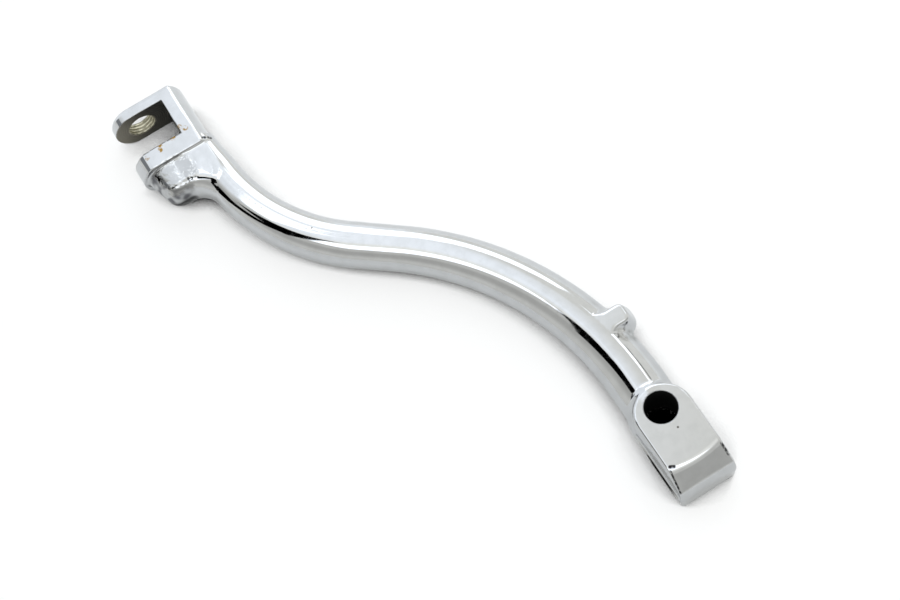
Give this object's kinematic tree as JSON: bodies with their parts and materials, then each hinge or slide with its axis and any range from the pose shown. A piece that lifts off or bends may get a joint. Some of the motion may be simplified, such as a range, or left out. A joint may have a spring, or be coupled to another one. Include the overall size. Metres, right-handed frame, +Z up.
{
  "type": "kick start lever",
  "caption": "Forged kick start lever: S bent arm with a bored block at one end, a stop lug and a slotted fork with a pin bore for a folding pedal at the other.",
  "frame": {"origin": "on the shaft hole's axis, at the underside that lies on the table", "axes": "+Z up along the shaft hole, +X along the block towards the fork and parallel to the pin bore, +Y the way the fork's slot opens"},
  "size_m": [0.2268, 0.1168, 0.017],
  "materials": {
    "chrome": "polished, with fine waves from hand polishing"
  },
  "bodies": {
    "root": {"kick_lever": "chrome"}
  },
  "joints": []
}
